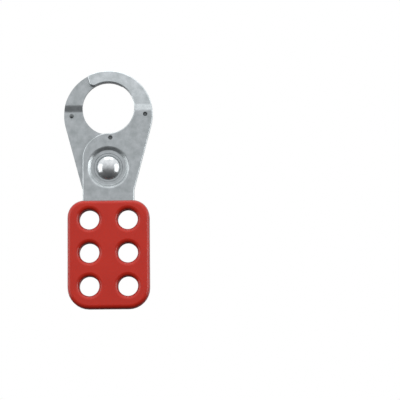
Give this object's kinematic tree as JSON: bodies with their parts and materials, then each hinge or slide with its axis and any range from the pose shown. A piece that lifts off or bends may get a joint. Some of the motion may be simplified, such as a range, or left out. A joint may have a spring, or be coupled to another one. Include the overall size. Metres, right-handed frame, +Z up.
{
  "type": "lockout hasp",
  "caption": "Steel lockout hasp with a one-inch scissor jaw on a rivet and a red vinyl-dipped handle with padlock holes.",
  "frame": {"origin": "centre of the closed jaw, halfway between the two leaves", "axes": "+Z up the hasp from the handle to the jaw, +X to the right seen from the rivet's domed head, +Y through the jaw from that side to the back"},
  "size_m": [0.0436, 0.01, 0.1168],
  "materials": {
    "leaf_steel": "bright zinc-plated stamped sheet steel, satin",
    "rivet_steel": "bright nickel-plated steel, polished by the rivet set",
    "handle_vinyl": "dipped red vinyl (plastisol), soft satin gloss"
  },
  "bodies": {
    "back_leaf": {"back_jaw_plate": "leaf_steel", "back_handle_coating": "handle_vinyl", "pivot_rivet": "rivet_steel"},
    "front_leaf": {"front_jaw_plate": "leaf_steel", "front_handle_coating": "handle_vinyl"}
  },
  "joints": [
    {"name": "jaw_pivot", "type": "hinge", "parent": "back_leaf", "child": "front_leaf", "pos_m": [0, 0, -0.0295], "axis": [0, 1, 0], "range_deg": [0, 42.5]}
  ]
}
